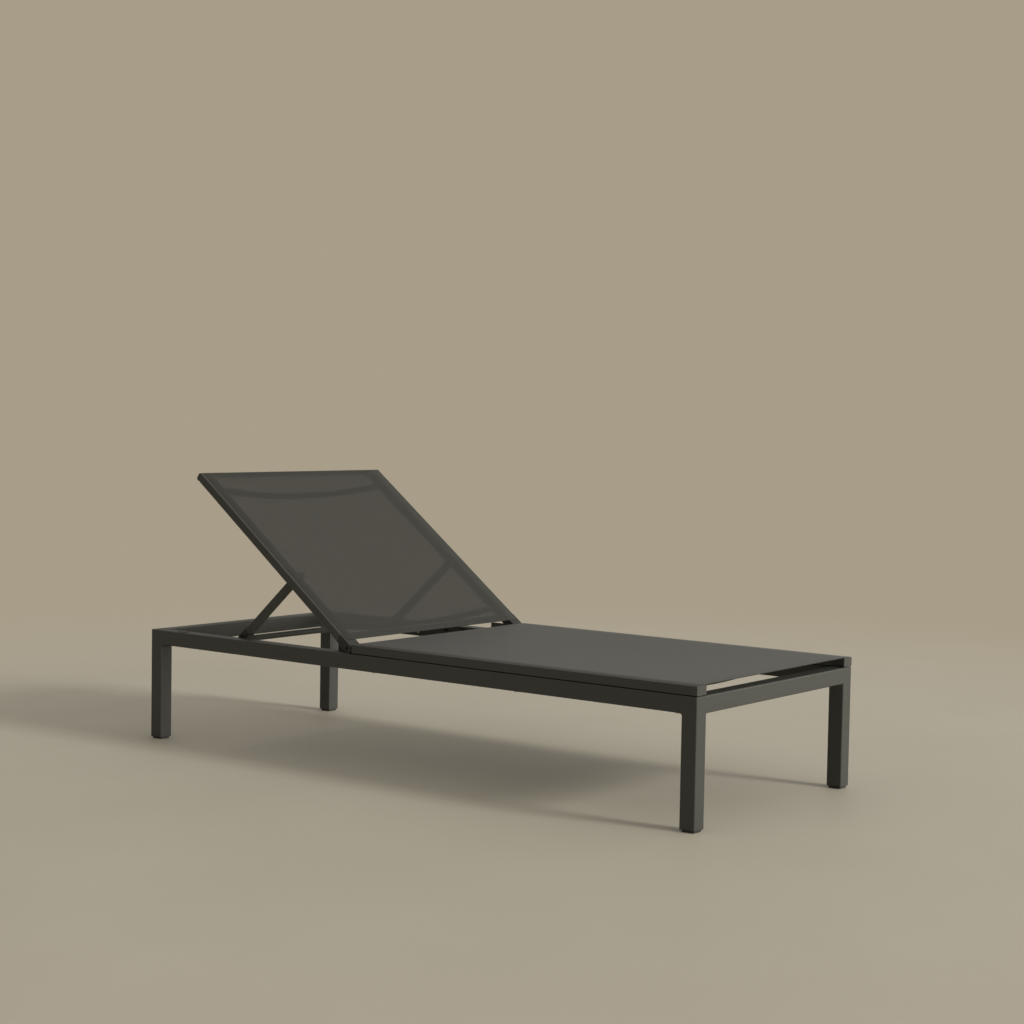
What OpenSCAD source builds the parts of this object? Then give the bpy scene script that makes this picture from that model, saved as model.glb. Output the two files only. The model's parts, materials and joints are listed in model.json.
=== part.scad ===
// Reclining sun lounger: square tube base, fixed seat deck, hinged backrest
// and a U-shaped stay that drops into notched racks inside the base rails.
// +X runs from the head end to the foot end, +Z is up and the floor is z = 0.
// A person on the lounger has the right hand on the -Y side.

/* [Overall] */
// Length of the base frame
length = 2000; // [1700:10:2400]
// Width of the base frame and the deck
width = 800; // [600:10:960]
// Height from the floor to the top of the base rails
base_top = 340; // [280:5:420]

/* [Base frame] */
// Side of the square tube in the legs and base rails
tube = 45; // [36:1:50]
// Wall of the square tube
tube_wall = 2; // [1.5:0.1:3]
// Outer corner radius of the square tube
tube_r = 3; // [2.2:0.1:4]
// Thickness of the plate that closes the top of each leg
leg_cap_t = 3; // [2:0.5:5]
// Radius of the fillet under each corner of the base
gusset_r = 9; // [5:1:16]

/* [Feet] */
// Height of a foot pad below its leg
pad_h = 8; // [5:1:15]
// How far a foot pad stands in from each face of its leg
pad_inset = 4; // [2:0.5:6]
// Thickness of the flange between a pad and its leg
pad_flange = 2; // [1:0.5:3]
// Height of the plug that holds a pad in its leg
pad_plug_h = 18; // [10:1:30]

/* [Deck rails] */
// How far the deck rails stand back from the base rails' inner faces
rail_back = 2; // [1:0.5:4]
// Height of the seat and back rails
rail_h = 25; // [22:1:32]
// Wall of the seat and back rails
rail_wall = 2; // [1.5:0.1:2.5]
// Outer corner radius of the seat and back rails
rail_r = 2.5; // [2:0.1:4]
// Gap between the base rails and the deck rails
deck_gap = 2; // [1.5:0.1:4]
// Distance from the outer face of a rail to its spline groove
groove_in = 7; // [6:0.5:10]
// Diameter of the spline groove
groove_d = 6; // [5:0.1:7]
// Diameter of the spline rod
spline_d = 4.6; // [3.5:0.1:4.8]
// Thickness of the end caps on the deck rails
cap_t = 3; // [2:0.5:5]

/* [Slings] */
// Thickness of the sling solids
sling_t = 1.5; // [1:0.1:2]
// Distance from the outer face of the lounger to the sling's edge
sling_in = 6; // [3:0.5:9]
// Distance from the end of the seat rails to the end of the seat sling
sling_end = 5; // [3:1:20]

/* [Spreader bars] */
// Diameter of the bowed spreader bars
spreader_d = 19; // [14:1:20]
// Wall of the spreader bars
spreader_wall = 1.5; // [1:0.1:2.5]
// Depth of the bow at mid width
spreader_bow = 34; // [20:1:45]
// Distance from each end of the seat deck to its spreader bars
seat_spreader_in = 200; // [150:10:260]
// Distance from the hinge to the lower back spreader
low_spreader_at = 95; // [80:5:140]
// Distance from the end of the backrest to the upper spreader
top_spreader_in = 73; // [50:1:90]

/* [Backrest and hinge] */
// Distance from the head end of the base to the hinge axis
hinge_from_head = 830; // [780:1:900]
// Length of the backrest from the hinge axis to its end
back_len = 782; // [740:1:800]
// Angle of the backrest as it stands, above level
rest_angle = 37; // [20:1:60]
// Diameter of the hinge bolt's shoulder
hinge_bolt_d = 10; // [8:0.5:11]
// Diameter of the hinge bolt's head
hinge_head_d = 15; // [13:0.5:16]
// Thickness of the hinge plates
plate_t = 5; // [4:0.5:8]
// Radial clearance of the turning fits
running_fit = 0.06; // [0.02:0.01:0.1]
// Gap between the hinge end of the backrest and the seat rails
hinge_gap = 2.5; // [1.5:0.5:5]

/* [Stay] */
// Distance from hinge to stay pivot, and from stay pivot to stay bar
stay_len = 312; // [280:1:320]
// Side of the square tube in the struts
strut = 20; // [16:1:22]
// Wall of the struts and the stay bar
strut_wall = 1.5; // [1:0.1:2.5]
// Diameter of the stay bar
bar_d = 18; // [14:1:20]
// Thickness of the nylon shoes on the struts
shoe_t = 2.5; // [1.5:0.5:4]
// Length of a shoe's arms along its strut
shoe_arm = 38; // [25:1:50]
// Gap between the base rails' inner faces and the struts
strut_gap = 1.5; // [1:0.5:6]
// Diameter of the stay bolt's shoulder
stay_bolt_d = 8; // [6:0.5:9]

/* [Racks] */
// Angle of the rack line below level, seen from the hinge
track_slope = 2.35; // [2:0.05:3]
// Thickness of a rack
rack_t = 11; // [8:1:14]
// Depth of a rack's notches
notch_depth = 10; // [6:1:12]
// Clearance between the racks' teeth and the shoes
rack_clear = 1; // [0.5:0.1:2]

/* [Hidden] */
$fn = 48;
// Facets in a full turn of the long, shallow bows
bow_facets = 200;
eps = 0.01;

// Charcoal powder coat, black plastic, mesh, zinc and blackened steel
metal_col = [0.16, 0.16, 0.15];
plastic_col = [0.05, 0.05, 0.05];
mesh_col = [0.24, 0.24, 0.22];
zinc_col = [0.62, 0.62, 0.60];
black_col = [0.08, 0.08, 0.08];

// Base frame
head_x = -length / 2;
foot_x = length / 2;
side_y = -width / 2;
base_low = base_top - tube;
inner_y = side_y + tube;
leg_low = pad_h;
plug_clear = 0.2;

// Deck layer
deck_low = base_top + deck_gap;
deck_top = deck_low + rail_h;
rail_w = tube - rail_back;
rail_inner_y = side_y + rail_w;

// Hinge
hinge_x = head_x + hinge_from_head;
hinge_z = deck_low + rail_h / 2;
seat_x0 = hinge_x + rail_h / 2 + hinge_gap;
block_len = 45;
block_plug = 30;
back_cap_len = 10;
back_cap_r = 8;
back_tube_x0 = hinge_x - back_len + back_cap_len;
back_tube_x1 = hinge_x - block_len;
cap_plug = 14;
back_sling_low = 21;
back_sling_top = 5;

// Hinge plate, measured from the hinge axis
plate_head_side = 78;
plate_foot_side = 18;
plate_above = rail_h / 2 - 2;
plate_r = 4;
plate_screw_d = 6;
plate_screw_z = base_top - tube / 2;
plate_screws_at = [-60, 6];
nut_af = 16;
nut_t = 6.5;
counterbore = 8;
washer_free = 0.3;

// Stay: its bar runs on a straight line through the hinge, because the
// strut is as long as the distance from the hinge to the strut's pivot
stay_angle = rest_angle + 2 * track_slope;
pivot_x = hinge_x - stay_len * cos(rest_angle);
pivot_z = hinge_z + stay_len * sin(rest_angle);
strut_y = inner_y + strut_gap;
shoe_r = strut / 2 + shoe_t;
shoe_cheek = 2;
bush_wall = 2;
bush_flange = 1.5;
bush_d = stay_bolt_d + 2 * running_fit + 2 * bush_wall;

// Racks: a notch for each angle at which the backrest stands
rack_angles = [18, 28, 37, 46, 55, 63, 70];
rack_margin = 34;
rack_low = base_low + 2;
tip_drop = shoe_r + rack_clear;
notch_r = shoe_r + 0.5;
rack_screw_d = 5;
screw_head_t = 3;

// Fixings
nut_wall = 3;
short_nut = 8;
long_nut = 10;
thread_in = 8;
bolt_head_t = 4;

// Deck bolts, as shares of the seat rail from its head end to its foot end
deck_bolt_d = 6;
deck_bolt_shares = [0.06, 0.5, 0.94];
seat_len = foot_x - seat_x0;

function bar_reach(angle) = 2 * stay_len * cos(angle + track_slope);
function deck_bolt_x(share) = seat_x0 + share * seat_len;

// ---------- helpers ----------

module rounded(w, h, r) {
    translate([r, 0])
        square([w - 2 * r, h]);
    translate([0, r])
        square([w, h - 2 * r]);
    for (x = [r, w - r], y = [r, h - r])
        translate([x, y])
            circle(r);
}

module left() {
    mirror([0, 1, 0])
        children();
}

module both_sides() {
    children();
    left()
        children();
}

// Turns the level backrest to its standing angle
module on_back() {
    translate([hinge_x, 0, hinge_z])
        rotate([0, rest_angle, 0])
            translate([-hinge_x, 0, -hinge_z])
                children();
}

// Puts a level strut, drawn from its pivot along -X, at its standing angle
module on_stay() {
    translate([pivot_x, 0, pivot_z])
        rotate([0, -stay_angle, 0])
            children();
}

// Stands a 2D side view, drawn in X and Z, from y0 towards +Y
module side_view(y0, t) {
    translate([0, y0 + t, 0])
        rotate([90, 0, 0])
            linear_extrude(t)
                children();
}

// A round bar along +Y from y0
module rod(d, y0, l) {
    translate([0, y0, 0])
        rotate([-90, 0, 0])
            cylinder(d = d, h = l);
}

module hex_nut(af, t, hole) {
    difference() {
        cylinder(d = af / cos(30), h = t, $fn = 6);
        translate([0, 0, -eps])
            cylinder(d = hole, h = t + 2 * eps);
    }
}

// ---------- base frame ----------

module tube_section() {
    inner = tube - 2 * tube_wall;
    difference() {
        rounded(tube, tube, tube_r);
        translate([tube_wall, tube_wall])
            rounded(inner, inner, tube_r - tube_wall);
    }
}

module leg_at(x, y) {
    color(metal_col)
        translate([x, y, leg_low])
            linear_extrude(base_top - leg_cap_t - leg_low)
                tube_section();
}

module leg_head_right() { leg_at(head_x, side_y); }
module leg_head_left() { leg_at(head_x, -inner_y); }
module leg_foot_right() { leg_at(foot_x - tube, side_y); }
module leg_foot_left() { leg_at(foot_x - tube, -inner_y); }

module leg_caps() {
    color(metal_col)
        for (x = [head_x, foot_x - tube], y = [side_y, -inner_y])
            translate([x, y, base_top - leg_cap_t])
                linear_extrude(leg_cap_t)
                    rounded(tube, tube, tube_r);
}

module pad_at(x, y) {
    foot = tube - 2 * pad_inset;
    plug = tube - 2 * tube_wall - 2 * plug_clear;
    plug_in = (tube - plug) / 2;
    color(plastic_col)
        translate([x, y, 0]) {
            translate([pad_inset, pad_inset, 0])
                linear_extrude(pad_h - pad_flange)
                    rounded(foot, foot, tube_r);
            translate([0, 0, pad_h - pad_flange])
                linear_extrude(pad_flange)
                    rounded(tube, tube, tube_r);
            translate([plug_in, plug_in, pad_h])
                linear_extrude(pad_plug_h)
                    rounded(plug, plug, tube_r / 2);
        }
}

module pad_head_right() { pad_at(head_x, side_y); }
module pad_head_left() { pad_at(head_x, -inner_y); }
module pad_foot_right() { pad_at(foot_x - tube, side_y); }
module pad_foot_left() { pad_at(foot_x - tube, -inner_y); }

module side_rail() {
    difference() {
        translate([head_x + tube, side_y, base_low])
            rotate([90, 0, 90])
                linear_extrude(length - 2 * tube)
                    tube_section();
        for (share = deck_bolt_shares)
            translate([deck_bolt_x(share), side_y + rail_w / 2, base_low - eps])
                cylinder(d = deck_bolt_d, h = tube + 2 * eps);
        for (at = plate_screws_at)
            translate([hinge_x + at, 0, plate_screw_z])
                rod(plate_screw_d + nut_wall, inner_y - tube_wall - 1, tube_wall + 2);
        for (spot = rack_screw_spots())
            translate([spot[0], 0, spot[1]])
                rod(rack_screw_d + 2, inner_y - tube_wall - 1, tube_wall + 2);
    }
}

module side_rail_right() { color(metal_col) side_rail(); }
module side_rail_left() { color(metal_col) left() side_rail(); }

module end_rail(x) {
    color(metal_col)
        translate([x + tube, inner_y, base_low])
            rotate([90, 0, 180])
                linear_extrude(width - 2 * tube)
                    tube_section();
}

module head_rail() { end_rail(head_x); }
module foot_rail() { end_rail(foot_x - tube); }

// The concave corner piece between the underside of a rail and a leg
module gusset(w) {
    linear_extrude(w)
        difference() {
            square(gusset_r);
            translate([gusset_r, gusset_r])
                circle(gusset_r);
        }
}

module corner_gussets() {
    w = tube - 2 * tube_r;
    color(metal_col)
        for (mx = [0, 1], my = [0, 1])
            mirror([mx, 0, 0])
                mirror([0, my, 0])
                    translate([head_x, side_y, base_low]) {
                        translate([tube, tube_r, 0])
                            rotate([-90, 0, 0])
                                gusset(w);
                        translate([tube_r + w, tube, 0])
                            rotate([-90, 0, 90])
                                gusset(w);
                    }
}

// Rubber buffers on which the level backrest rests
module back_buffers() {
    buffer_l = 30;
    buffer_in = 110;
    buffer_free = 0.5;
    color(plastic_col)
        both_sides()
            translate([head_x + buffer_in, side_y + rail_w / 4, base_top])
                cube([buffer_l, rail_w / 2, deck_gap - buffer_free]);
}

// ---------- deck rails ----------

// Section of a deck rail: outer face at x = 0, underside at y = 0
module deck_section() {
    groove_y = rail_h - groove_d;
    slot = groove_d / 3;
    boss_x0 = rail_wall + eps;
    boss_x1 = groove_in + groove_d / 2 + rail_wall;
    boss_y0 = groove_y - groove_d / 2 - rail_wall;
    difference() {
        rounded(rail_w, rail_h, rail_r);
        difference() {
            translate([rail_wall, rail_wall])
                square([rail_w - 2 * rail_wall, rail_h - 2 * rail_wall]);
            translate([0, boss_y0])
                square([boss_x1, rail_h]);
        }
        translate([groove_in, groove_y])
            circle(groove_d / 2);
        translate([groove_in - slot / 2, groove_y])
            square([slot, rail_h]);
    }
}

// Part of a rail's hollow that a plug fills, clear of the spline groove
module deck_plug_section() {
    x0 = groove_in + groove_d / 2 + rail_wall + plug_clear;
    y0 = rail_wall + plug_clear;
    translate([x0, y0])
        square([rail_w - rail_wall - plug_clear - x0, rail_h - 2 * y0]);
}

// Runs a section along X, with its outer face on the right side
module along_deck(x0, l) {
    translate([x0, side_y, deck_low])
        rotate([90, 0, 90])
            linear_extrude(l)
                children();
}

module spline(x0, l) {
    translate([x0, side_y + groove_in, deck_low + rail_h - groove_d])
        rotate([0, 90, 0])
            cylinder(d = spline_d, h = l);
}

// ---------- seat deck ----------

module seat_rail() {
    difference() {
        along_deck(seat_x0 + cap_t, seat_len - 2 * cap_t)
            deck_section();
        for (share = deck_bolt_shares)
            translate([deck_bolt_x(share), side_y + rail_w / 2, deck_low - 1])
                cylinder(d = deck_bolt_d + nut_wall, h = rail_wall + 2);
    }
}

module seat_rail_right() { color(metal_col) seat_rail(); }
module seat_rail_left() { color(metal_col) left() seat_rail(); }

module seat_cap(x0, plug_x0) {
    along_deck(x0, cap_t)
        rounded(rail_w, rail_h, rail_r);
    along_deck(plug_x0, cap_plug)
        deck_plug_section();
}

module seat_caps_foot() {
    color(plastic_col)
        both_sides()
            seat_cap(foot_x - cap_t, foot_x - cap_t - cap_plug);
}

module seat_caps_head() {
    color(plastic_col)
        both_sides()
            seat_cap(seat_x0, seat_x0 + cap_t);
}

module seat_splines() {
    color(plastic_col)
        both_sides()
            spline(seat_x0 + cap_t, seat_len - 2 * cap_t);
}

// A tube between the rails, bowed down at mid width, centred on x = 0, z = 0
module bowed_bar() {
    half = width / 2 - rail_w;
    r = (half * half + spreader_bow * spreader_bow) / (2 * spreader_bow);
    reach = 2 * asin((half + spreader_d) / r);
    intersection() {
        translate([0, 0, r - spreader_bow])
            rotate([0, 90, 0])
                rotate([0, 0, -reach / 2])
                    rotate_extrude(angle = reach, $fn = bow_facets)
                        translate([r, 0])
                            difference() {
                                circle(d = spreader_d);
                                circle(d = spreader_d - 2 * spreader_wall);
                            }
        translate([-spreader_d, -half, -spreader_bow - spreader_d])
            cube([2 * spreader_d, 2 * half, 2 * spreader_bow + 2 * spreader_d]);
    }
}

module spreader_at(x) {
    translate([x, 0, deck_low + rail_h / 2])
        bowed_bar();
}

module seat_spreader_head() { color(metal_col) spreader_at(seat_x0 + seat_spreader_in); }
module seat_spreader_foot() { color(metal_col) spreader_at(foot_x - seat_spreader_in); }

module sling(x0, x1) {
    translate([x0, side_y + sling_in, deck_top])
        cube([x1 - x0, width - 2 * sling_in, sling_t]);
}

module seat_sling() { color(mesh_col) sling(seat_x0 + sling_end, foot_x - sling_end); }

// ---------- seat fixings ----------

module at_deck_bolts() {
    both_sides()
        for (share = deck_bolt_shares)
            translate([deck_bolt_x(share), side_y + rail_w / 2, 0])
                children();
}

module deck_spacers() {
    color(plastic_col)
        at_deck_bolts()
            translate([0, 0, base_top])
                difference() {
                    cylinder(d = 3 * deck_bolt_d, h = deck_gap);
                    translate([0, 0, -eps])
                        cylinder(d = deck_bolt_d, h = deck_gap + 2 * eps);
                }
}

module deck_bolts() {
    color(zinc_col)
        at_deck_bolts() {
            translate([0, 0, base_low - bolt_head_t])
                cylinder(d = 2 * deck_bolt_d, h = bolt_head_t);
            translate([0, 0, base_low])
                cylinder(d = deck_bolt_d, h = deck_low + thread_in - base_low);
        }
}

// A rivet nut through a thin wall, along +Z from the wall's outer face
module rivet_nut(d, wall, l) {
    difference() {
        cylinder(d = d + nut_wall, h = wall + l);
        translate([0, 0, -eps])
            cylinder(d = d, h = wall + l + 2 * eps);
    }
}

module rivet_nuts() {
    color(zinc_col) {
        at_deck_bolts()
            translate([0, 0, deck_low])
                rivet_nut(deck_bolt_d, rail_wall, short_nut);
        both_sides()
            for (at = plate_screws_at)
                translate([hinge_x + at, inner_y, plate_screw_z])
                    rotate([90, 0, 0])
                        rivet_nut(plate_screw_d, tube_wall, short_nut);
    }
}

// ---------- hinge ----------

module hinge_plate() {
    low = base_low + 4;
    high = hinge_z + plate_above;
    difference() {
        side_view(inner_y, plate_t)
            translate([hinge_x - plate_head_side, low])
                rounded(plate_head_side + plate_foot_side, high - low, plate_r);
        translate([hinge_x, 0, hinge_z])
            rod(hinge_bolt_d, inner_y - 1, plate_t + 2);
        for (at = plate_screws_at)
            translate([hinge_x + at, 0, plate_screw_z])
                rod(plate_screw_d, inner_y - 1, plate_t + 2);
    }
}

module hinge_plate_right() { color(metal_col) hinge_plate(); }
module hinge_plate_left() { color(metal_col) left() hinge_plate(); }

module hinge_plate_screws() {
    color(zinc_col)
        both_sides()
            for (at = plate_screws_at)
                translate([hinge_x + at, 0, plate_screw_z]) {
                    rod(plate_screw_d, inner_y - tube_wall - thread_in, plate_t + tube_wall + thread_in);
                    rod(2 * plate_screw_d, inner_y + plate_t, screw_head_t);
                }
}

// Shoulder bolt: head sunk in the hinge block, nut on the inner face of the plate
module hinge_bolt() {
    head_t = 5;
    socket_d = 6;
    socket_in = 3;
    head_y = side_y + counterbore - head_t;
    end_y = inner_y + plate_t + nut_t + 2;
    translate([hinge_x, 0, hinge_z])
        difference() {
            union() {
                rod(hinge_head_d, head_y, head_t);
                rod(hinge_bolt_d, head_y, end_y - head_y);
            }
            rod(socket_d, head_y - eps, socket_in);
        }
}

module hinge_bolt_right() { color(black_col) hinge_bolt(); }
module hinge_bolt_left() { color(black_col) left() hinge_bolt(); }

module hinge_washers() {
    color(plastic_col)
        both_sides()
            translate([hinge_x, 0, hinge_z])
                difference() {
                    rod(rail_h - 4, rail_inner_y + washer_free, inner_y - rail_inner_y - washer_free);
                    rod(hinge_bolt_d, rail_inner_y, inner_y - rail_inner_y + 1);
                }
}

module hinge_nuts() {
    color(zinc_col)
        both_sides()
            translate([hinge_x, inner_y + plate_t, hinge_z])
                rotate([-90, 0, 0])
                    hex_nut(nut_af, nut_t, hinge_bolt_d);
}

// ---------- racks ----------

// A place on the rack line, at a distance from the hinge and a depth below it
function on_track(reach, drop) = [
    hinge_x - reach * cos(track_slope) + drop * sin(track_slope),
    hinge_z - reach * sin(track_slope) - drop * cos(track_slope)
];

function rack_near() = bar_reach(rack_angles[len(rack_angles) - 1]) - rack_margin;
function rack_far() = bar_reach(rack_angles[0]) + rack_margin;

// Screws stand between notches, where the rack is at its full height
function rack_screw_spots() = [
    for (i = [0, 3, 5])
        let (reach = (bar_reach(rack_angles[i]) + bar_reach(rack_angles[i + 1])) / 2)
            [hinge_x - reach, (rack_low + on_track(reach, tip_drop)[1]) / 2]
];

module rack() {
    difference() {
        side_view(inner_y, rack_t)
            difference() {
                polygon([
                    [hinge_x - rack_near(), rack_low],
                    on_track(rack_near(), tip_drop),
                    on_track(rack_far(), tip_drop),
                    [hinge_x - rack_far(), rack_low]
                ]);
                for (angle = rack_angles)
                    translate(on_track(bar_reach(angle), notch_depth))
                        circle(notch_r);
            }
        for (spot = rack_screw_spots())
            translate([spot[0], 0, spot[1]])
                rod(rack_screw_d, inner_y - 1, rack_t + 2);
    }
}

module rack_right() { color(plastic_col) rack(); }
module rack_left() { color(plastic_col) left() rack(); }

module rack_screws() {
    color(zinc_col)
        both_sides()
            for (spot = rack_screw_spots())
                translate([spot[0], 0, spot[1]]) {
                    rod(rack_screw_d, inner_y - tube_wall - thread_in, rack_t + tube_wall + thread_in);
                    rod(2 * rack_screw_d, inner_y + rack_t, screw_head_t);
                }
}

// ---------- backrest, drawn level and then raised ----------

module back_rail() {
    difference() {
        along_deck(back_tube_x0, back_tube_x1 - back_tube_x0)
            deck_section();
        translate([hinge_x - stay_len, 0, hinge_z])
            rod(stay_bolt_d + nut_wall, rail_inner_y - rail_wall - 1, rail_wall + 2);
    }
}

module back_rail_right() { color(metal_col) on_back() back_rail(); }
module back_rail_left() { color(metal_col) on_back() left() back_rail(); }

// Nylon end of a back rail: turns on the hinge bolt and plugs into the rail
module hinge_block() {
    difference() {
        union() {
            side_view(side_y, rail_w) {
                translate([hinge_x - block_len, deck_low])
                    square([block_len, rail_h]);
                translate([hinge_x, hinge_z])
                    circle(rail_h / 2);
            }
            along_deck(back_tube_x1 - block_plug, block_plug)
                deck_plug_section();
        }
        translate([hinge_x, 0, hinge_z]) {
            rod(hinge_bolt_d + 2 * running_fit, side_y - 1, rail_w + 2);
            rod(hinge_head_d + 1, side_y - 1, counterbore + 1 + running_fit);
        }
    }
}

module hinge_block_right() { color(plastic_col) on_back() hinge_block(); }
module hinge_block_left() { color(plastic_col) on_back() left() hinge_block(); }

// Cap with rounded corners at the upper end of a back rail
module back_cap() {
    end_x = hinge_x - back_len;
    side_view(side_y, rail_w)
        intersection() {
            translate([end_x, deck_low])
                rounded(3 * back_cap_r, rail_h, back_cap_r);
            translate([end_x, deck_low])
                square([back_cap_len, rail_h]);
        }
    along_deck(back_tube_x0, cap_plug)
        deck_plug_section();
}

module back_caps() {
    color(plastic_col)
        on_back()
            both_sides()
                back_cap();
}

module back_splines() {
    color(plastic_col)
        on_back()
            both_sides()
                spline(back_tube_x0, back_tube_x1 - back_tube_x0);
}

module back_spreader_low() { color(metal_col) on_back() spreader_at(hinge_x - low_spreader_at); }
module back_spreader_top() {
    color(metal_col)
        on_back()
            spreader_at(hinge_x - back_len + top_spreader_in);
}

module back_sling() {
    color(mesh_col)
        on_back()
            sling(hinge_x - back_len + back_sling_top, hinge_x - back_sling_low);
}

module stay_rivet_nuts() {
    color(zinc_col)
        on_back()
            both_sides()
                translate([hinge_x - stay_len, rail_inner_y, hinge_z])
                    rotate([90, 0, 0])
                        rivet_nut(stay_bolt_d, rail_wall, long_nut);
}

// Shoulder bolt on which a strut turns, screwed into the back rail
module stay_bolt() {
    head_y = strut_y + strut + bush_flange + running_fit;
    start_y = rail_inner_y - rail_wall - thread_in;
    translate([hinge_x - stay_len, 0, hinge_z]) {
        rod(stay_bolt_d, start_y, head_y - start_y);
        rod(2 * stay_bolt_d, head_y, bolt_head_t);
    }
}

module stay_bolt_right() { color(black_col) on_back() stay_bolt(); }
module stay_bolt_left() { color(black_col) on_back() left() stay_bolt(); }

module stay_spacers() {
    color(plastic_col)
        on_back()
            both_sides()
                translate([hinge_x - stay_len, 0, hinge_z])
                    difference() {
                        rod(bush_d + 4, rail_inner_y, strut_y - rail_inner_y - washer_free);
                        rod(stay_bolt_d, rail_inner_y - 1, strut_y - rail_inner_y + 2);
                    }
}

// ---------- stay, drawn level from its pivot along -X ----------

module strut_outline(r, x0, x1) {
    translate([x0, -r])
        square([x1 - x0, 2 * r]);
    for (x = [x0, x1])
        translate([x, 0])
            circle(r);
}

// The lower end is stepped in on its outer side to take the shoe's cheek
module stay_strut() {
    upper_solid = strut;
    lower_solid = shoe_arm + strut_wall;
    bore = strut - 2 * strut_wall;
    difference() {
        side_view(strut_y, strut)
            strut_outline(strut / 2, -stay_len, 0);
        translate([-stay_len + lower_solid, strut_y + strut_wall, -bore / 2])
            cube([stay_len - lower_solid - upper_solid, bore, bore]);
        translate([-stay_len - strut, strut_y - 1, -strut])
            cube([strut + shoe_arm, 1 + shoe_cheek, 2 * strut]);
        rod(bush_d, strut_y - 1, strut + 2);
    }
}

module stay_strut_right() { color(metal_col) on_stay() stay_strut(); }
module stay_strut_left() { color(metal_col) on_stay() left() stay_strut(); }

module stay_bar() {
    bar_y = strut_y + strut;
    color(metal_col)
        on_stay()
            translate([-stay_len, 0, 0])
                difference() {
                    rod(bar_d, bar_y, -2 * bar_y);
                    rod(bar_d - 2 * strut_wall, bar_y - 1, -2 * bar_y + 2);
                }
}

// Outline of a shoe from the side
module shoe_outline(r, arm) {
    translate([-stay_len, 0]) {
        circle(r);
        translate([0, -r])
            square([arm, 2 * r]);
    }
}

// Nylon shoe, clipped round the lower end of a strut, with a cheek on its outer side
module stay_shoe() {
    side_view(strut_y, strut)
        difference() {
            shoe_outline(shoe_r, shoe_arm);
            shoe_outline(strut / 2, shoe_arm + 1);
        }
    side_view(strut_y, shoe_cheek)
        shoe_outline(strut / 2 + eps, shoe_arm);
}

module stay_shoe_right() { color(plastic_col) on_stay() stay_shoe(); }
module stay_shoe_left() { color(plastic_col) on_stay() left() stay_shoe(); }

// Flanged bush in the upper end of a strut
module stay_bush() {
    difference() {
        union() {
            rod(bush_d, strut_y, strut);
            rod(bush_d + 4, strut_y + strut, bush_flange);
        }
        rod(stay_bolt_d + 2 * running_fit, strut_y - 1, strut + bush_flange + 2);
    }
}

module stay_bush_right() { color(plastic_col) on_stay() stay_bush(); }
module stay_bush_left() { color(plastic_col) on_stay() left() stay_bush(); }

// ---------- drawing ----------

leg_head_right();
leg_head_left();
leg_foot_right();
leg_foot_left();
leg_caps();
pad_head_right();
pad_head_left();
pad_foot_right();
pad_foot_left();
side_rail_right();
side_rail_left();
head_rail();
foot_rail();
corner_gussets();
back_buffers();
seat_rail_right();
seat_rail_left();
seat_caps_foot();
seat_caps_head();
seat_splines();
seat_spreader_head();
seat_spreader_foot();
seat_sling();
deck_spacers();
deck_bolts();
rivet_nuts();
hinge_plate_right();
hinge_plate_left();
hinge_plate_screws();
hinge_bolt_right();
hinge_bolt_left();
hinge_washers();
hinge_nuts();
rack_right();
rack_left();
rack_screws();
back_rail_right();
back_rail_left();
hinge_block_right();
hinge_block_left();
back_caps();
back_splines();
back_spreader_low();
back_spreader_top();
back_sling();
stay_rivet_nuts();
stay_bolt_right();
stay_bolt_left();
stay_spacers();
stay_strut_right();
stay_strut_left();
stay_bar();
stay_shoe_right();
stay_shoe_left();
stay_bush_right();
stay_bush_left();
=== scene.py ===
import json
import math

import bmesh
import bpy
from mathutils import Matrix, Vector


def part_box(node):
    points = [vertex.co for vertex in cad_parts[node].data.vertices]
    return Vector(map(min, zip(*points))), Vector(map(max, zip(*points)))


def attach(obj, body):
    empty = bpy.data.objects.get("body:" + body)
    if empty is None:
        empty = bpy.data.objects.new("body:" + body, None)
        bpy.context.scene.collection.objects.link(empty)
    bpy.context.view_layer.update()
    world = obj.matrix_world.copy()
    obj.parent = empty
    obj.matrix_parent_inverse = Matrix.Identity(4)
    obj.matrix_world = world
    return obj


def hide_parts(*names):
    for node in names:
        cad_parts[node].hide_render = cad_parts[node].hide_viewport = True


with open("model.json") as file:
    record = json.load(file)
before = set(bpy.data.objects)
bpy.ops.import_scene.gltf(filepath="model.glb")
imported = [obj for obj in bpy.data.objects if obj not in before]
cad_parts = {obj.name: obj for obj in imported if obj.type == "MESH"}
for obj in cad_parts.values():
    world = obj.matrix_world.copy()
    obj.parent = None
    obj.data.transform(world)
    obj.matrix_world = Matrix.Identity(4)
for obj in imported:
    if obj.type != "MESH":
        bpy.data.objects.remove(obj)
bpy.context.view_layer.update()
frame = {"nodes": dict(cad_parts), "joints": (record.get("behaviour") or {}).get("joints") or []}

# The lounger's own measures, in metres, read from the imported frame
BASE_LOW, BASE_HIGH = (Vector(corner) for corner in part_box("leg_foot_right"))
BASE_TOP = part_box("leg_caps")[1][2]
TUBE = BASE_HIGH.x - BASE_LOW.x
FOOT_END = BASE_HIGH.x
SIDE = -BASE_LOW.y

SEAT_LOW, SEAT_HIGH = (Vector(corner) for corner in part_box("seat_sling"))
SEAT_RAIL_TOP = SEAT_LOW.z
RAIL_HEIGHT = SEAT_RAIL_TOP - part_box("seat_rail_right")[0][2]
RAIL_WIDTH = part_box("seat_rail_right")[1][1] + SIDE

BACK_HINGE = Vector(frame["joints"][0]["pos_m"])

# Angle of the backrest at rest, and where its sling starts and ends, from the hinge
BACK_ANGLE = math.radians(37)
BACK_SLING_LOW = 0.021
BACK_SLING_HIGH = 0.777

# Outer corner radius of the square tube
TUBE_ROUND = 0.003

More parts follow.
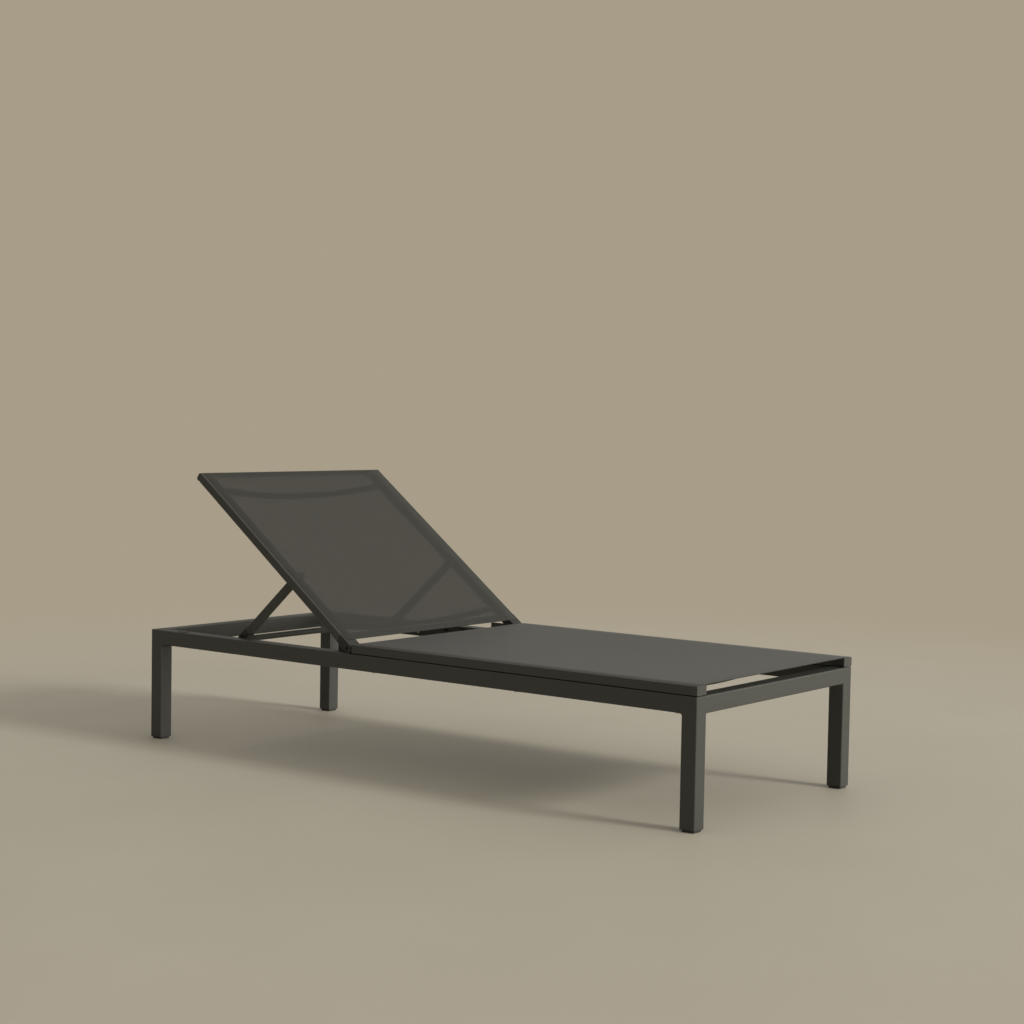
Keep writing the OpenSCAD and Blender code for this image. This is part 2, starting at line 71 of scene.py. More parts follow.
# Slings: the cloth, how it lies in the rails' grooves, its hems and their stitches
CLOTH = 0.0007
CLOTH_LIFT = 0.0001
GROOVE_IN = 0.007
GROOVE_LIP = 0.002
GROOVE_LIP_DROP = 0.0009
TUCK = 0.006
TUCK_LEAN = 0.0004
HEM_WIDTH = 0.026
HEM_INSET = 0.0035
HEM_GAP = 0.0002
HEM_SHORT = 0.002
STITCH_LENGTH = 0.0030
STITCH_PITCH = 0.0042
STITCH_THICK = 0.0005
STITCH_RUN = 0.0004
STITCH_DIP = 0.0003
SEAT_SAG = 0.005
BACK_SAG = 0.004
CLOTH_ROWS = 24
CLOTH_CUTS = 15

# Weave: yarn pitch, open part of the pitch, and the slants between which the windows close
YARN_PITCH = 0.0046
WINDOW = 0.43
CLOSES_FROM = 0.60
CLOSES_AT = 0.86

# Points closer than this are taken as one
SAME = 0.0001

# Room and light
ROOM_TONE = (0.39, 0.338, 0.25, 1)
ROOM_DARK = (0.03, 0.029, 0.027, 1)
ROOM_SIDE = (3.5, 3.4, 3.05, 1)
ROOM_ABOVE = (0.45, 0.43, 0.39, 1)
ROOM_LEVEL = 1.0
BRIGHT_SIDE = (0.85, 0.52, 0)
KEY_AZIMUTH = 9
KEY_ELEVATION = 29
KEY_POWER = 1.7
KEY_SPREAD = 14
KEY_COLOUR = (1.0, 0.955, 0.87)

# Floor, and the distances between which it fades into the room's tone
FLOOR_DARK = (0.46, 0.425, 0.355, 1)
FLOOR_LIGHT = (0.53, 0.495, 0.42, 1)
FLOOR_RADIUS = 40
FADE_FROM = 1.9
FADE_TO = 4.6

# Camera, its angles in degrees
CAMERA_AT = (3.461, -4.305, 1.028)
CAMERA_AZIMUTH = 37.97
CAMERA_PITCH = -2.99
CAMERA_ROLL = 0.99
CAMERA_LENS = 66.16


# ---------- modelling helpers ----------

def select_only(obj):
    """Makes one piece the only selected and active one."""
    bpy.ops.object.select_all(action="DESELECT")
    obj.select_set(True)
    bpy.context.view_layer.objects.active = obj


def start_piece(name):
    """Names the primitive that was just added."""
    obj = bpy.context.object
    obj.name = name
    obj.data.name = name
    return obj


def pick(obj, test, kind="VERT"):
    """In edit mode, selects the vertices, edges or faces whose middle passes the test."""
    mesh = bmesh.from_edit_mesh(obj.data)
    bpy.ops.mesh.select_mode(type=kind)
    bpy.ops.mesh.select_all(action="DESELECT")
    parts = {"VERT": mesh.verts, "EDGE": mesh.edges, "FACE": mesh.faces}[kind]
    for part in parts:
        if kind == "VERT":
            middle = part.co
        else:
            middle = sum((vert.co for vert in part.verts), Vector()) / len(part.verts)
        part.select_set(test(middle))
    mesh.select_flush_mode()
    bmesh.update_edit_mesh(obj.data)


def move_picked(obj, test, by):
    """Moves the vertices that pass the test."""
    pick(obj, test)
    bpy.ops.transform.translate(value=by)


def place(obj, matrix=None):
    """Puts the piece's place and turn into its mesh, so that its object sits at the origin."""
    select_only(obj)
    if matrix is not None:
        obj.matrix_world = matrix @ obj.matrix_world
    bpy.ops.object.transform_apply(location=True, rotation=True, scale=True)


def add_modifier(obj, kind, **settings):
    """Adds a modifier to the piece and applies it."""
    select_only(obj)
    modifier = obj.modifiers.new(kind.title(), kind)
    for key, value in settings.items():
        setattr(modifier, key, value)
    bpy.ops.object.modifier_apply(modifier=modifier.name)


def mend_normals(obj):
    """Merges doubles and points every face outwards."""
    select_only(obj)
    bpy.ops.object.mode_set(mode="EDIT")
    bpy.ops.mesh.select_all(action="SELECT")
    bpy.ops.mesh.remove_doubles(threshold=0.00002)
    bpy.ops.mesh.normals_make_consistent(inside=False)
    bpy.ops.object.mode_set(mode="OBJECT")


def copy_piece(obj, name, offset=(0, 0, 0)):
    """A copy with its own mesh."""
    twin = obj.copy()
    twin.data = obj.data.copy()
    twin.name = name
    twin.data.name = name
    bpy.context.collection.objects.link(twin)
    twin.data.transform(Matrix.Translation(offset))
    return twin


def join_pieces(pieces, name):
    """Joins pieces into one."""
    bpy.ops.object.select_all(action="DESELECT")
    for piece in pieces:
        piece.select_set(True)
    bpy.context.view_layer.objects.active = pieces[0]
    bpy.ops.object.join()
    return start_piece(name)


def finish_piece(obj, material, body):
    """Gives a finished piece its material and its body."""
    obj.data.materials.clear()
    obj.data.materials.append(material)
    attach(obj, body)


# ---------- shader groups ----------

def new_group(name, inputs, outputs):
    """An empty shader group with named float, colour and vector sockets."""
    group = bpy.data.node_groups.new(name, "ShaderNodeTree")
    kinds = {"value": "NodeSocketFloat", "colour": "NodeSocketColor", "vector": "NodeSocketVector"}
    for label, kind, default in inputs:
        socket = group.interface.new_socket(label, in_out="INPUT", socket_type=kinds[kind])
        if default is not None:
            socket.default_value = default
    for label, kind in outputs:
        group.interface.new_socket(label, in_out="OUTPUT", socket_type=kinds[kind])
    start = group.nodes.new("NodeGroupInput")
    end = group.nodes.new("NodeGroupOutput")
    return group, start, end


def math_node(tree, operation, a, b=None, clamp=False):
    """A Math node; a and b are numbers or sockets."""
    node = tree.nodes.new("ShaderNodeMath")
    node.operation = operation
    node.use_clamp = clamp
    for socket, value in zip(node.inputs, (a, b)):
        if value is None:
            continue
        if isinstance(value, (int, float)):
            socket.default_value = value
        else:
            tree.links.new(value, socket)
    return node.outputs[0]


def noise_node(tree, vector, scale, detail=3.0, rough=0.5):
    """Noise from a vector socket; scale is a number or a socket."""
    node = tree.nodes.new("ShaderNodeTexNoise")
    node.inputs["Detail"].default_value = detail
    node.inputs["Roughness"].default_value = rough
    if isinstance(scale, (int, float)):
        node.inputs["Scale"].default_value = scale
    else:
        tree.links.new(scale, node.inputs["Scale"])
    tree.links.new(vector, node.inputs["Vector"])
    return node.outputs["Fac"]


def spread(tree, value, low, high, to_low, to_high):
    """Maps a value from one range to another, held at its ends."""
    node = tree.nodes.new("ShaderNodeMapRange")
    ends = {"From Min": low, "From Max": high, "To Min": to_low, "To Max": to_high}
    for label, number in ends.items():
        node.inputs[label].default_value = number
    tree.links.new(value, node.inputs["Value"])
    return node.outputs["Result"]


def mix_colour(tree, share, a, b):
    """A colour mix; share, a and b are values or sockets."""
    node = tree.nodes.new("ShaderNodeMix")
    node.data_type = "RGBA"
    for socket, value in ((node.inputs[0], share), (node.inputs[6], a), (node.inputs[7], b)):
        if isinstance(value, bpy.types.NodeSocket):
            tree.links.new(value, socket)
        else:
            socket.default_value = value
    return node.outputs[2]


def build_edge_wear():
    """Where an outer edge is rubbed: 1 on the edge, 0 on a flat face."""
    group, start, end = new_group(
        "edge_wear",
        [("Vector", "vector", None), ("Amount", "value", 0.5)],
        [("Mask", "value")],
    )
    rounded = group.nodes.new("ShaderNodeBevel")
    rounded.samples = 4
    rounded.inputs["Radius"].default_value = 0.0016
    face = group.nodes.new("ShaderNodeNewGeometry")
    dot = group.nodes.new("ShaderNodeVectorMath")
    dot.operation = "DOT_PRODUCT"
    group.links.new(rounded.outputs["Normal"], dot.inputs[0])
    group.links.new(face.outputs["True Normal"], dot.inputs[1])
    edge = spread(group, dot.outputs["Value"], 0.98, 0.86, 0.0, 1.0)
    blotches = noise_node(group, start.outputs["Vector"], 38.0, 4.0)
    patches = spread(group, blotches, 0.42, 0.66, 0.0, 1.0)
    worn = math_node(group, "MULTIPLY", edge, patches)
    group.links.new(math_node(group, "MULTIPLY", worn, start.outputs["Amount"]), end.inputs["Mask"])
    return group


def build_fine_grain():
    """Fine grain of a coat or a moulding, with cloudy tone and dust on faces that look up."""
    group, start, end = new_group(
        "fine_grain",
        [
            ("Vector", "vector", None),
            ("Colour", "colour", (0.1, 0.1, 0.1, 1.0)),
            ("Edge Colour", "colour", (0.2, 0.2, 0.2, 1.0)),
            ("Dust Colour", "colour", (0.3, 0.29, 0.26, 1.0)),
            ("Edge", "value", 0.0),
            ("Grain Scale", "value", 900.0),
            ("Tone", "value", 0.12),
            ("Dust", "value", 0.1),
            ("Roughness", "value", 0.5),
        ],
        [("Colour", "colour"), ("Roughness", "value"), ("Height", "value")],
    )
    vector = start.outputs["Vector"]
    cloud = noise_node(group, vector, 6.0, 4.0, 0.6)
    grain = noise_node(group, vector, start.outputs["Grain Scale"], 2.0, 0.6)
    speck = noise_node(group, vector, 260.0, 2.0, 0.7)
    cloudy = spread(group, cloud, 0.3, 0.7, -0.5, 0.5)
    grainy = spread(group, grain, 0.3, 0.7, -0.5, 0.5)
    lift = math_node(group, "ADD", cloudy, grainy)
    tone = math_node(group, "ADD", math_node(group, "MULTIPLY", lift, start.outputs["Tone"]), 1.0)
    shade = group.nodes.new("ShaderNodeVectorMath")
    shade.operation = "SCALE"
    group.links.new(start.outputs["Colour"], shade.inputs[0])
    group.links.new(tone, shade.inputs["Scale"])
    up = group.nodes.new("ShaderNodeNewGeometry")
    split = group.nodes.new("ShaderNodeSeparateXYZ")
    group.links.new(up.outputs["Normal"], split.inputs[0])
    facing = spread(group, split.outputs["Z"], 0.35, 0.95, 0.0, 1.0)
    settled = math_node(group, "MULTIPLY", facing, spread(group, speck, 0.42, 0.68, 0.25, 1.0))
    dust = math_node(group, "MULTIPLY", settled, start.outputs["Dust"])
    dusted = mix_colour(group, dust, shade.outputs["Vector"], start.outputs["Dust Colour"])
    worn = mix_colour(group, start.outputs["Edge"], dusted, start.outputs["Edge Colour"])
    group.links.new(worn, end.inputs["Colour"])
    gloss = spread(group, cloud, 0.3, 0.7, -0.06, 0.06)
    rough = math_node(group, "ADD", start.outputs["Roughness"], gloss)
    rough = math_node(group, "ADD", rough, math_node(group, "MULTIPLY", dust, 0.3), clamp=True)
    group.links.new(rough, end.inputs["Roughness"])
    group.links.new(grain, end.inputs["Height"])
    return group


def build_mesh_weave():
    """Coated yarns in a plain weave, over and under each other in turn, with open windows, and
    painted shade on each yarn's flanks and where it passes under its neighbour.
    """
    group, start, end = new_group(
        "mesh_weave",
        [
            ("Vector", "vector", None),
            ("Window", "value", 0.3),
            ("Light Yarn", "colour", (0.16, 0.16, 0.15, 1.0)),
            ("Dark Yarn", "colour", (0.09, 0.09, 0.085, 1.0)),
        ],
        [("Colour", "colour"), ("Cover", "value"), ("Height", "value")],
    )
    split = group.nodes.new("ShaderNodeSeparateXYZ")
    group.links.new(start.outputs["Vector"], split.inputs[0])
    along = math_node(group, "FRACT", split.outputs["X"])
    across = math_node(group, "FRACT", split.outputs["Y"])
    # Distance from the middle of each yarn, 0 on the yarn and 0.5 between two
    off_weft = math_node(group, "ABSOLUTE", math_node(group, "SUBTRACT", along, 0.5))
    off_warp = math_node(group, "ABSOLUTE", math_node(group, "SUBTRACT", across, 0.5))
    half_gap = math_node(group, "MULTIPLY", start.outputs["Window"], 0.5)
    edge = math_node(group, "SUBTRACT", 0.5, half_gap)
    in_gap_a = math_node(group, "GREATER_THAN", off_weft, edge)
    in_gap_b = math_node(group, "GREATER_THAN", off_warp, edge)
    window = math_node(group, "MULTIPLY", in_gap_a, in_gap_b)
    group.links.new(math_node(group, "SUBTRACT", 1.0, window), end.inputs["Cover"])
    # Each yarn is round, and passes over and under its neighbours in turn
    step_a = math_node(group, "FLOOR", split.outputs["X"])
    step_b = math_node(group, "FLOOR", split.outputs["Y"])
    turn = math_node(group, "PINGPONG", math_node(group, "ADD", step_a, step_b), 1.0)
    round_a = math_node(group, "SUBTRACT", 1.0, math_node(group, "MULTIPLY", off_weft, 1.7))
    round_b = math_node(group, "SUBTRACT", 1.0, math_node(group, "MULTIPLY", off_warp, 1.7))
    over_a = math_node(group, "MULTIPLY", round_a, spread(group, turn, 0.0, 1.0, 0.65, 1.0))
    over_b = math_node(group, "MULTIPLY", round_b, spread(group, turn, 0.0, 1.0, 1.0, 0.65))
    height = math_node(group, "MAXIMUM", over_a, over_b)
    group.links.new(height, end.inputs["Height"])
    # Painted shade: the colour darkens from the yarn colour towards the shade colour on each yarn's
    # round flanks and where it passes under its neighbour, with a random tint on top
    tint = noise_node(group, start.outputs["Vector"], 0.6, 3.0, 0.6)
    cloudy = spread(group, tint, 0.3, 0.7, 0.75, 1.1)
    shade = math_node(group, "MULTIPLY", height, cloudy, clamp=True)
    colour = mix_colour(group, shade, start.outputs["Dark Yarn"], start.outputs["Light Yarn"])
    group.links.new(colour, end.inputs["Colour"])
    return group


EDGE_WEAR = build_edge_wear()
FINE_GRAIN = build_fine_grain()
MESH_WEAVE = build_mesh_weave()


# ---------- materials ----------

def new_material(name):
    """A material with a Principled BSDF and nothing on it."""
    material = bpy.data.materials.new(name)
    material.use_nodes = True
    tree = material.node_tree
    shader = tree.nodes["Principled BSDF"]
    return material, tree, shader


def place_group(tree, group, **values):
    """Puts a shader group in a material and sets its named inputs."""
    node = tree.nodes.new("ShaderNodeGroup")
    node.node_tree = group
    for label, value in values.items():
        node.inputs[label.replace("_", " ")].default_value = value
    return node


def add_bump(tree, shader, height, depth):
    """Turns a height into a bump on the shader's normal."""
    bump = tree.nodes.new("ShaderNodeBump")
    bump.inputs["Strength"].default_value = 1.0
    bump.inputs["Distance"].default_value = depth
    tree.links.new(height, bump.inputs["Height"])
    tree.links.new(bump.outputs["Normal"], shader.inputs["Normal"])


# How cloudy and how dusty every coat and moulding is
CLOUDINESS = 0.12
DUST = 0.08


def grained(name, colour, edge_colour, roughness, grain, depth, edge, metal=0.0):
    """A coat or moulding with fine grain, rubbed edges and a little dust."""
    material, tree, shader = new_material(name)
    spot = tree.nodes.new("ShaderNodeTexCoord")
    wear = place_group(tree, EDGE_WEAR, Amount=edge)
    tree.links.new(spot.outputs["Object"], wear.inputs["Vector"])
    surface = place_group(
        tree,
        FINE_GRAIN,
        Colour=colour,
        Edge_Colour=edge_colour,
        Grain_Scale=grain,
        Tone=CLOUDINESS,
        Dust=DUST,
        Roughness=roughness,
    )
    tree.links.new(spot.outputs["Object"], surface.inputs["Vector"])
    tree.links.new(wear.outputs["Mask"], surface.inputs["Edge"])
    tree.links.new(surface.outputs["Colour"], shader.inputs["Base Color"])
    tree.links.new(surface.outputs["Roughness"], shader.inputs["Roughness"])
    shader.inputs["Metallic"].default_value = metal
    add_bump(tree, shader, surface.outputs["Height"], depth)
    return material


def mesh_cloth(name):
    """Woven mesh laid out on the piece's own UV map, one unit of the weave per yarn."""
    material, tree, shader = new_material(name)
    layout = tree.nodes.new("ShaderNodeUVMap")
    layout.uv_map = "UVMap"
    scale = tree.nodes.new("ShaderNodeMapping")
    scale.inputs["Scale"].default_value = (1 / YARN_PITCH, 1 / YARN_PITCH, 1.0)
    tree.links.new(layout.outputs["UV"], scale.inputs["Vector"])
    weave = place_group(tree, MESH_WEAVE, Window=WINDOW, Light_Yarn=LIGHT_YARN, Dark_Yarn=YARN_PAINTED_SHADE)
    tree.links.new(scale.outputs["Vector"], weave.inputs["Vector"])
    tree.links.new(weave.outputs["Colour"], shader.inputs["Base Color"])
    # Seen at a low angle, the thickness of the yarns closes the windows
    slant = tree.nodes.new("ShaderNodeLayerWeight")
    slant.inputs["Blend"].default_value = 0.5
    closed = spread(tree, slant.outputs["Facing"], CLOSES_FROM, CLOSES_AT, 0.0, 1.0)
    cover = math_node(tree, "MAXIMUM", weave.outputs["Cover"], closed)
    tree.links.new(cover, shader.inputs["Alpha"])
    shader.inputs["Roughness"].default_value = 0.55
    shader.inputs["Sheen Weight"].default_value = 0.06
    shader.inputs["Sheen Roughness"].default_value = 0.5
    add_bump(tree, shader, weave.outputs["Height"], 0.0006)
    return material


# Yarn colour on the top of each yarn, and the painted shade it darkens to on its flanks and where
# it passes under its neighbours
LIGHT_YARN = (0.0245, 0.0255, 0.0210, 1)
YARN_PAINTED_SHADE = (0.0088, 0.0092, 0.0076, 1)
POWDER_COAT = grained(
    "powder_coat", (0.036, 0.038, 0.033, 1), (0.09, 0.095, 0.083, 1),
    roughness=0.46, grain=1100.0, depth=0.00008, edge=0.5,
)
CAP_PLASTIC = grained(
    "cap_plastic", (0.034, 0.036, 0.0315, 1), (0.07, 0.075, 0.066, 1),
    roughness=0.5, grain=700.0, depth=0.00006, edge=0.35,
)
BLACK_NYLON = grained(
    "black_nylon", (0.010, 0.010, 0.010, 1), (0.04, 0.04, 0.038, 1),
    roughness=0.42, grain=500.0, depth=0.00006, edge=0.4,
)
BLACK_STEEL = grained(
    "black_steel", (0.022, 0.022, 0.022, 1), (0.12, 0.12, 0.115, 1),
    roughness=0.38, grain=400.0, depth=0.00003, edge=0.5,
)
ZINC_STEEL = grained(
    "zinc_steel", (0.36, 0.36, 0.34, 1), (0.55, 0.55, 0.53, 1),
    roughness=0.34, grain=350.0, depth=0.00003, edge=0.6, metal=1.0,
)
THREAD = grained(
    "sewing_thread", (0.10, 0.10, 0.095, 1), (0.16, 0.16, 0.15, 1),
    roughness=0.6, grain=2400.0, depth=0.00005, edge=0.0,
)
HEM_CLOTH = grained(
    "hem_cloth", (0.0175, 0.0183, 0.0152, 1), (0.06, 0.06, 0.056, 1),
    roughness=0.62, grain=420.0, depth=0.0002, edge=0.0,
)
FINISHES = {
    "powder_coat": POWDER_COAT,
    "cap_plastic": CAP_PLASTIC,
    "black_nylon": BLACK_NYLON,
    "zinc_steel": ZINC_STEEL,
    "black_steel": BLACK_STEEL,
}


def dress_frame():
    """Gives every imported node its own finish."""
    for node in frame["nodes"].values():
        for slot in node.material_slots:
            slot.material = FINISHES.get(slot.material.name, slot.material)


# ---------- slings ----------

def sag_at(share, across, deepest):
    """How far the cloth hangs at a share of its length and a share of its half width."""
    lengthwise = math.sin(math.pi * min(max(share, 0.0), 1.0)) ** 0.6
    return deepest * lengthwise * max(0.0, 1 - across * across)


def stretched_cloth(name, x0, x1, rail_top, deepest):
    """A mesh sheet laid over two rails, tucked into their grooves and hanging a little between."""
    half = SIDE - GROOVE_IN
    clear = SIDE - RAIL_WIDTH
    length = x1 - x0
    bpy.ops.object.select_all(action="DESELECT")
    bpy.ops.mesh.primitive_grid_add(
        x_subdivisions=CLOTH_ROWS,
        y_subdivisions=1,
        size=1,
        calc_uvs=True,
        location=((x0 + x1) / 2, 0, rail_top + CLOTH_LIFT),
    )
    cloth = start_piece(name)
    cloth.scale = (length, 2 * clear, 1)
    place(cloth)
    bpy.ops.object.mode_set(mode="EDIT")
    pick(cloth, lambda at: abs(at.y) < clear * 0.5, "EDGE")
    bpy.ops.mesh.subdivide(number_cuts=CLOTH_CUTS)
    for side in (-1, 1):
        pick(cloth, lambda at: at.y * side > clear - SAME, "EDGE")
        over_rail = (half - clear - GROOVE_LIP, 0)
        for out, down in (over_rail, (GROOVE_LIP, -GROOVE_LIP_DROP), (TUCK_LEAN, -TUCK)):
            step = (0, out * side, down)
            bpy.ops.mesh.extrude_region_move(TRANSFORM_OT_translate={"value": step})
    rows = sorted({round(vert.co.x, 5) for vert in bmesh.from_edit_mesh(cloth.data).verts})
    columns = sorted({round(vert.co.y, 5) for vert in bmesh.from_edit_mesh(cloth.data).verts})
    for x in rows[1:-1]:
        for y in columns:
            if abs(y) < clear - SAME:
                drop = sag_at((x - x0) / length, y / clear, deepest)
                move_picked(
                    cloth,
                    lambda at: abs(at.x - x) < SAME / 2 and abs(at.y - y) < SAME / 2,
                    (0, 0, -drop),
                )
    bpy.ops.object.mode_set(mode="OBJECT")
    return cloth


def lay_out_weave(obj, x0):
    """Writes the UV map of a level cloth: metres from its head end, and metres across it."""
    mesh = obj.data
    layer = mesh.uv_layers.get("UVMap") or mesh.uv_layers.new(name="UVMap")
    for loop in mesh.loops:
        at = mesh.vertices[loop.vertex_index].co
        layer.data[loop.index].uv = (at.x - x0, at.y + SIDE)


def hem_band(name, x0, x1, rail_top):
    """The folded end of the cloth, lying under it."""
    bpy.ops.object.select_all(action="DESELECT")
    middle = ((x0 + x1) / 2, 0, rail_top - HEM_GAP - CLOTH / 2)
    bpy.ops.mesh.primitive_cube_add(size=1, location=middle)
    band = start_piece(name)
    band.scale = (x1 - x0, 2 * (SIDE - RAIL_WIDTH) - HEM_SHORT, CLOTH)
    place(band)
    bpy.ops.object.mode_set(mode="EDIT")
    pick(band, lambda at: abs(at.x - x0) < SAME or abs(at.x - x1) < SAME, "EDGE")
    bpy.ops.mesh.bevel(offset=CLOTH * 0.3, segments=2, affect="EDGES")
    bpy.ops.object.mode_set(mode="OBJECT")
    mend_normals(band)
    return band


def stitch_row(name, x, z):
    """One row of straight stitches across the sling."""
    half = SIDE - RAIL_WIDTH * 0.45
    count = int(2 * half / STITCH_PITCH)
    first = -STITCH_PITCH * (count - 1) / 2
    bpy.ops.object.select_all(action="DESELECT")
    bpy.ops.mesh.primitive_cylinder_add(
        vertices=6,
        radius=STITCH_THICK / 2,
        depth=STITCH_LENGTH,
        location=(x, first, z),
        rotation=(math.pi / 2, 0, 0),
    )
    row = start_piece(name)
    place(row)
    bpy.ops.object.mode_set(mode="EDIT")
    for side in (-1, 1):
        pick(row, lambda at: (at.y - first) * side > STITCH_LENGTH * 0.49, "FACE")
        into_cloth = (0, STITCH_RUN * side, -STITCH_DIP)
        bpy.ops.mesh.extrude_region_move(TRANSFORM_OT_translate={"value": into_cloth})
        bpy.ops.transform.resize(value=(0.5, 1, 0.5))
    bpy.ops.object.mode_set(mode="OBJECT")
    add_modifier(
        row,
        "ARRAY",
        count=count,
        use_relative_offset=False,
        use_constant_offset=True,
        constant_offset_displace=(0, STITCH_PITCH, 0),
    )
    return row


def make_sling(name, x0, x1, rail_top, deepest, body, stands_for, turn=None):
    """A whole sling: cloth, folded hems and their stitches."""
    cloth = stretched_cloth(name, x0, x1, rail_top, deepest)
    lay_out_weave(cloth, x0)
    add_modifier(cloth, "SOLIDIFY", thickness=CLOTH, offset=1.0)
    bpy.ops.object.shade_smooth_by_angle(angle=math.radians(40))
    bands = [
        hem_band(name + "_hem_head", x0 + HEM_GAP, x0 + HEM_WIDTH, rail_top),
        hem_band(name + "_hem_foot", x1 - HEM_WIDTH, x1 - HEM_GAP, rail_top),
    ]
    top = rail_top + CLOTH_LIFT + CLOTH + STITCH_THICK * 0.15
    first_row = stitch_row(name + "_row", x0 + HEM_INSET, top)
    rows = [first_row]
    more_rows = (x0 + HEM_WIDTH - HEM_INSET, x1 - HEM_INSET, x1 - HEM_WIDTH + HEM_INSET)
    for number, x in enumerate(more_rows):
        rows.append(copy_piece(first_row, f"{name}_row_{number}", (x - x0 - HEM_INSET, 0, 0)))
    stitches = join_pieces(rows, name + "_stitches")
    for piece in [cloth, stitches] + bands:
        place(piece, turn)
    finish_piece(cloth, mesh_cloth(name + "_mesh"), body)
    for band in bands:
        finish_piece(band, HEM_CLOTH, body)
    finish_piece(stitches, THREAD, body)
    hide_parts(stands_for)


# ---------- frame details ----------

def weld_fills():
    """Ground welds that fill the rounded corner of each leg where a rail meets it."""
    size = TUBE_ROUND
    tall = TUBE
    bpy.ops.object.select_all(action="DESELECT")
    bpy.ops.mesh.primitive_cube_add(
        size=1,
        location=(FOOT_END - TUBE + size / 2, -SIDE + size / 2, BASE_TOP - tall / 2),
    )
    fill = start_piece("weld_fill")
    fill.scale = (size, size, tall)
    place(fill)
    bpy.ops.object.mode_set(mode="EDIT")
    pick(
        fill,
        lambda at: at.y < -SIDE + SAME and abs(at.z - BASE_TOP + tall / 2) > tall * 0.49,
        "EDGE",
    )
    bpy.ops.mesh.bevel(offset=size * 0.98, segments=5, affect="EDGES")
    bpy.ops.object.mode_set(mode="OBJECT")
    mend_normals(fill)
    fills = [fill]
    end = copy_piece(fill, "weld_fill_end")
    swap = Matrix(((0, -1, 0, 0), (-1, 0, 0, 0), (0, 0, 1, 0), (0, 0, 0, 1)))
    from_side = Matrix.Translation((TUBE - FOOT_END, SIDE, 0))
    to_end = Matrix.Translation((FOOT_END, TUBE - SIDE, 0))
    end.data.transform(to_end @ swap @ from_side)
    fills.append(end)
    corner = list(fills)
    for number, flip in enumerate(((-1, 1), (1, -1), (-1, -1))):
        for piece in corner:
            twin = copy_piece(piece, f"{piece.name}_{number}")
            twin.data.transform(Matrix.Diagonal((flip[0], flip[1], 1, 1)))
            mend_normals(twin)
            fills.append(twin)
    welds = join_pieces(fills, "weld_fills")
    mend_normals(welds)
    bpy.ops.object.shade_smooth_by_angle(angle=math.radians(30))
    finish_piece(welds, POWDER_COAT, "base")


# ---------- room, light and camera ----------

def plain_floor():
    """A wide pale floor that fades into the tone of the room away from the lounger."""
    bpy.ops.object.select_all(action="DESELECT")
    bpy.ops.mesh.primitive_circle_add(
        vertices=96,
        radius=FLOOR_RADIUS,
        fill_type="NGON",
        location=(0, 0, 0),
    )
    floor = start_piece("studio_floor")
    material, tree, shader = new_material("pale_floor")
    spot = tree.nodes.new("ShaderNodeTexCoord")
    cloud = noise_node(tree, spot.outputs["Object"], 1.3, 5.0, 0.55)
    tint = mix_colour(tree, cloud, FLOOR_DARK, FLOOR_LIGHT)
    tree.links.new(tint, shader.inputs["Base Color"])
    shader.inputs["Roughness"].default_value = 0.62
    away = tree.nodes.new("ShaderNodeVectorMath")
    away.operation = "LENGTH"
    tree.links.new(spot.outputs["Object"], away.inputs[0])
    fade = spread(tree, away.outputs["Value"], FADE_FROM, FADE_TO, 0.0, 1.0)
    room = tree.nodes.new("ShaderNodeEmission")
    room.inputs["Color"].default_value = ROOM_TONE
    room.inputs["Strength"].default_value = ROOM_LEVEL
    both = tree.nodes.new("ShaderNodeMixShader")
    tree.links.new(fade, both.inputs[0])
    tree.links.new(shader.outputs[0], both.inputs[1])
    tree.links.new(room.outputs[0], both.inputs[2])
    tree.links.new(both.outputs[0], tree.nodes["Material Output"].inputs["Surface"])
    floor.data.materials.append(material)


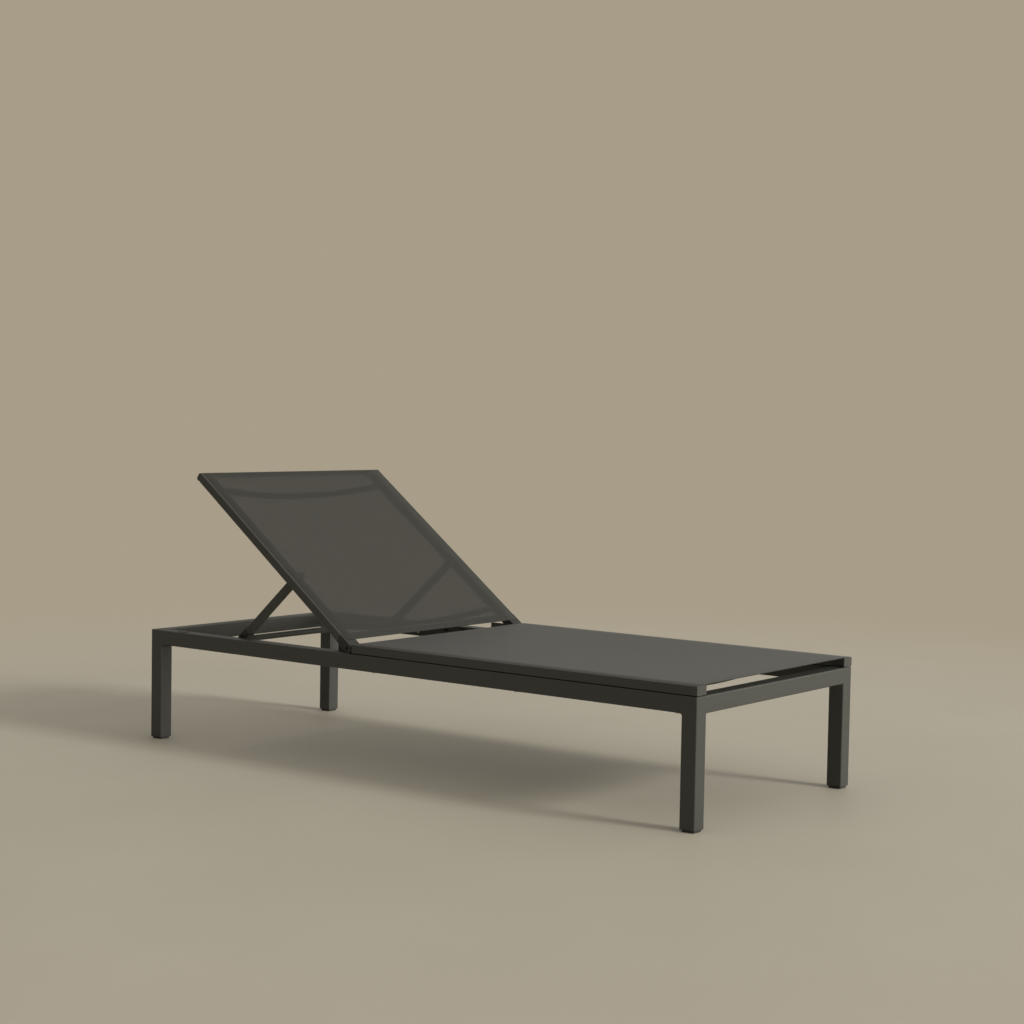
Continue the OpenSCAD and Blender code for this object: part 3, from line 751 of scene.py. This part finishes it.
def studio_light():
    """Warm room light and one low, broad lamp from the foot end."""
    world = bpy.data.worlds.new("studio")
    bpy.context.scene.world = world
    world.use_nodes = True
    tree = world.node_tree
    backdrop = tree.nodes["Background"]
    backdrop.inputs["Strength"].default_value = ROOM_LEVEL
    sky = tree.nodes.new("ShaderNodeTexCoord")
    from_side = tree.nodes.new("ShaderNodeVectorMath")
    from_side.operation = "DOT_PRODUCT"
    from_side.inputs[1].default_value = BRIGHT_SIDE
    tree.links.new(sky.outputs["Generated"], from_side.inputs[0])
    from_above = tree.nodes.new("ShaderNodeSeparateXYZ")
    tree.links.new(sky.outputs["Generated"], from_above.inputs[0])
    sideways = spread(tree, from_side.outputs["Value"], -0.3, 0.9, 0.0, 1.0)
    upwards = spread(tree, from_above.outputs["Z"], 0.05, 0.45, 0.0, 1.0)
    around = mix_colour(tree, sideways, ROOM_DARK, ROOM_SIDE)
    light = mix_colour(tree, upwards, around, ROOM_ABOVE)
    seen = tree.nodes.new("ShaderNodeLightPath")
    shown = mix_colour(tree, seen.outputs["Is Camera Ray"], light, ROOM_TONE)
    tree.links.new(shown, backdrop.inputs["Color"])
    azimuth = math.radians(KEY_AZIMUTH)
    elevation = math.radians(KEY_ELEVATION)
    back = Vector((
        math.cos(azimuth) * math.cos(elevation),
        math.sin(azimuth) * math.cos(elevation),
        math.sin(elevation),
    ))
    data = bpy.data.lights.new("key", "SUN")
    data.angle = math.radians(KEY_SPREAD)
    data.energy = KEY_POWER
    data.color = KEY_COLOUR
    lamp = bpy.data.objects.new("key", data)
    lamp.rotation_euler = (-back).to_track_quat("-Z", "Y").to_euler()
    bpy.context.collection.objects.link(lamp)


def place_camera():
    """The view from the foot end, a little above the seat."""
    azimuth = math.radians(CAMERA_AZIMUTH)
    pitch = math.radians(CAMERA_PITCH)
    roll = math.radians(CAMERA_ROLL)
    forward = Vector((
        -math.sin(azimuth) * math.cos(pitch),
        math.cos(azimuth) * math.cos(pitch),
        math.sin(pitch),
    ))
    level = Vector((math.cos(azimuth), math.sin(azimuth), 0))
    upward = level.cross(forward)
    right = level * math.cos(roll) + upward * math.sin(roll)
    top = upward * math.cos(roll) - level * math.sin(roll)
    data = bpy.data.cameras.new("camera")
    data.sensor_width = 36
    data.lens = CAMERA_LENS
    camera = bpy.data.objects.new("camera", data)
    turn = Matrix((right, top, -forward)).transposed().to_4x4()
    camera.matrix_world = Matrix.Translation(CAMERA_AT) @ turn
    bpy.context.collection.objects.link(camera)
    bpy.context.scene.camera = camera


dress_frame()
make_sling(
    "seat_mesh",
    SEAT_LOW.x,
    SEAT_HIGH.x,
    SEAT_RAIL_TOP,
    SEAT_SAG,
    "base",
    "seat_sling",
)
raise_back = (
    Matrix.Translation(BACK_HINGE)
    @ Matrix.Rotation(BACK_ANGLE, 4, "Y")
    @ Matrix.Translation(-BACK_HINGE)
)
make_sling(
    "back_mesh",
    BACK_HINGE.x - BACK_SLING_HIGH,
    BACK_HINGE.x - BACK_SLING_LOW,
    BACK_HINGE.z + RAIL_HEIGHT / 2,
    BACK_SAG,
    "backrest",
    "back_sling",
    raise_back,
)
weld_fills()
plain_floor()
studio_light()
place_camera()
bpy.context.scene.view_settings.view_transform = "Standard"
